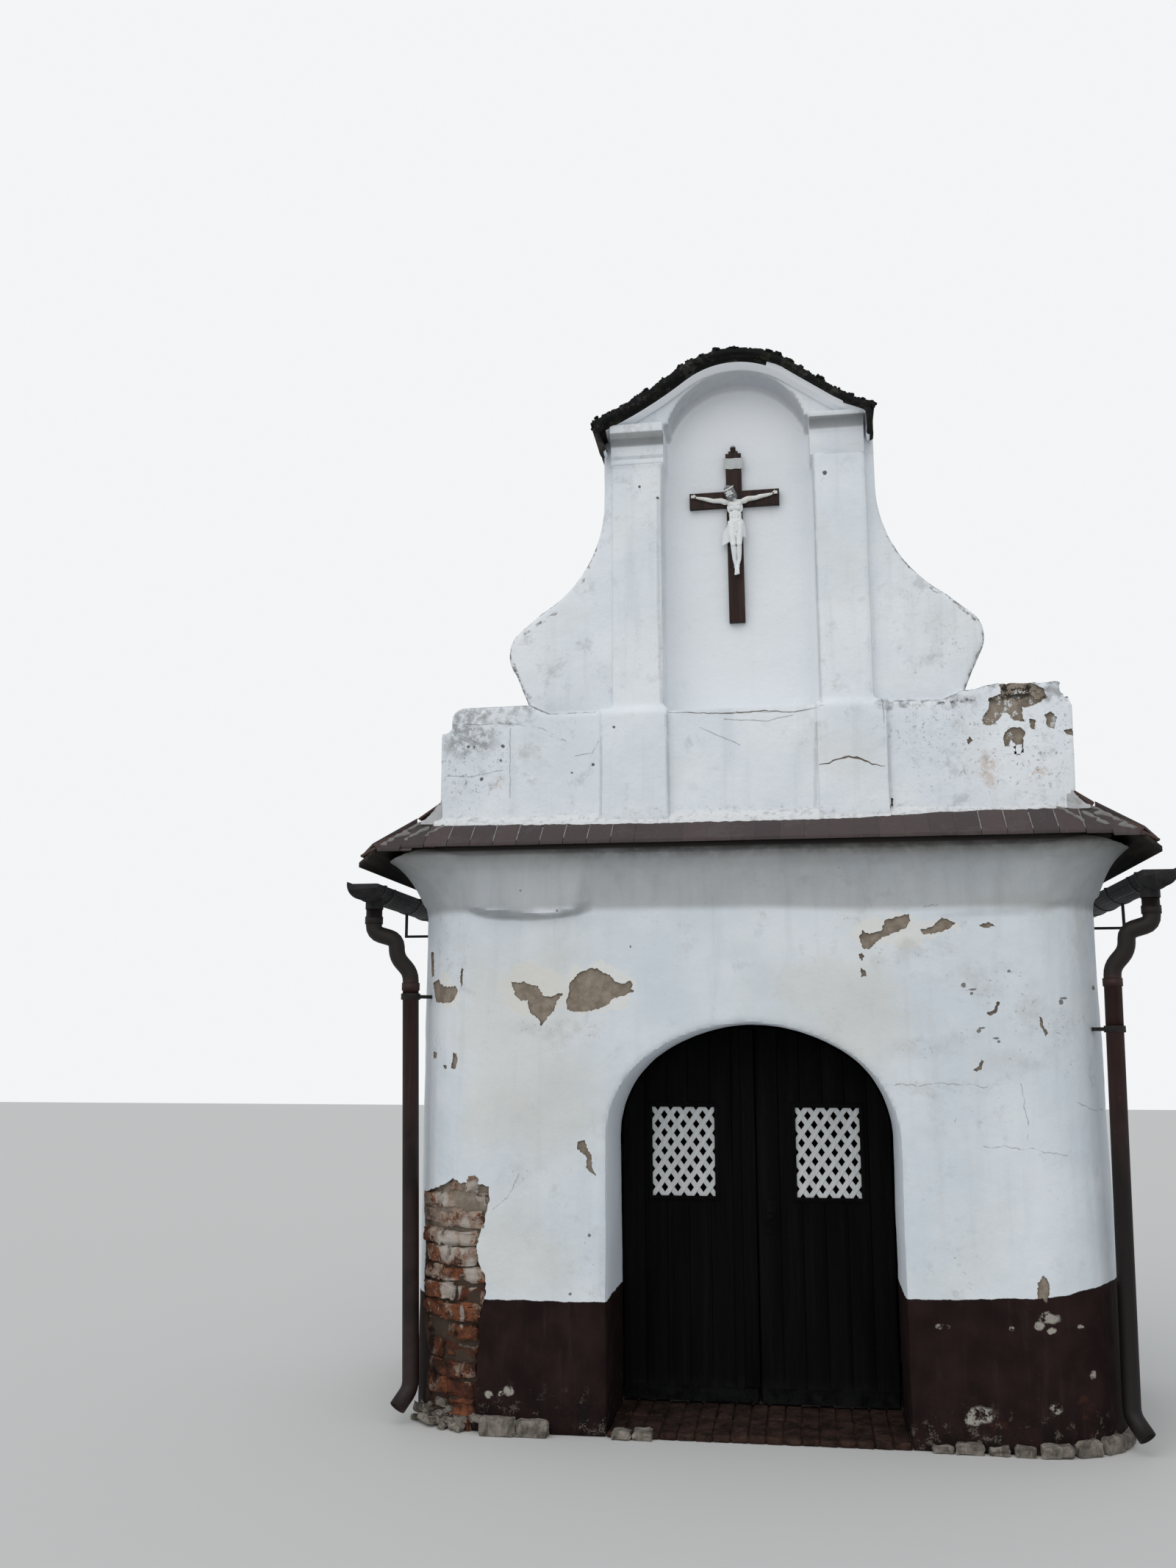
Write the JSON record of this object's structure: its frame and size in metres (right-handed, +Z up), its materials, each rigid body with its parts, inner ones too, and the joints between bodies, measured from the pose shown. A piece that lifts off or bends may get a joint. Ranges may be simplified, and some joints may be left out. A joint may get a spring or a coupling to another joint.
{
  "type": "wayside shrine",
  "caption": "Small limewashed brick chapel with arched double doors, rounded corners and a curved screen gable with a crucifix niche under a tiled hood.",
  "frame": {"origin": "middle of the footprint, at ground level", "axes": "+X to the viewer's right when facing the doors, +Y back to the party wall, +Z up"},
  "size_m": [3.574, 1.615, 4.813],
  "materials": {
    "limewashed_render": "limewashed lime render over brick, chipped, with a brown painted plinth",
    "floor_screed": "rough worn screed",
    "brick": "worn bricks on edge",
    "hood_tile": "mossy blackened tiles",
    "roof_tile": "plain clay tiles, stained and mossy",
    "roof_boards": "rough sawn boards, dark with age",
    "cross_wood": "dark stained wood",
    "figure_white": "matt white painted cast",
    "plate_white": "matt white paint",
    "gutter_metal": "dark weathered sheet",
    "pipe_metal": "brown paint, dusty",
    "iron": "forged iron, rusted",
    "door_wood": "near-black paint on boards",
    "lattice_wood": "white paint"
  },
  "bodies": {
    "shrine": {"front_wall_left": "limewashed_render", "front_wall_right": "limewashed_render", "front_wall_arch": "limewashed_render", "side_wall_left": "limewashed_render", "side_wall_right": "limewashed_render", "back_wall": "limewashed_render", "cornice_cove": "limewashed_render", "tile_bed": "limewashed_render", "end_pedestal_left": "limewashed_render", "end_pedestal_right": "limewashed_render", "pilaster_pedestal_left": "limewashed_render", "pilaster_pedestal_right": "limewashed_render", "apron_panel": "limewashed_render", "niche_wall": "limewashed_render", "niche_arch": "limewashed_render", "pilaster_left": "limewashed_render", "pilaster_right": "limewashed_render", "capital_left": "limewashed_render", "capital_right": "limewashed_render", "volute_left": "limewashed_render", "volute_right": "limewashed_render", "floor_slab": "floor_screed", "door_sill": "brick", "hood_tiles": "hood_tile", "front_tiles": "roof_tile", "roof_tiles_left": "roof_tile", "roof_tiles_right": "roof_tile", "ridge_tiles": "roof_tile", "roof_deck_left": "roof_boards", "roof_deck_right": "roof_boards", "cross": "cross_wood", "corpus": "figure_white", "title_plate": "plate_white", "gutter_left": "gutter_metal", "gutter_right": "gutter_metal", "downpipe_left": "pipe_metal", "downpipe_right": "pipe_metal", "gutter_stays": "iron", "pipe_clips": "iron", "door_pintles": "iron"},
    "door_left": {"door_leaf_left": "door_wood", "door_lattice_left": "lattice_wood", "door_cover_strip": "door_wood"},
    "door_right": {"door_leaf_right": "door_wood", "door_lattice_right": "lattice_wood", "door_lock": "iron"}
  },
  "joints": [
    {"name": "left_door_hinge", "type": "hinge", "parent": "shrine", "child": "door_left", "pos_m": [-0.632, -0.0645, 0.75], "axis": [0, 0, 1], "range_deg": [0, 95]},
    {"name": "right_door_hinge", "type": "hinge", "parent": "shrine", "child": "door_right", "pos_m": [0.632, -0.0645, 0.75], "axis": [0, 0, -1], "range_deg": [0, 95]}
  ]
}
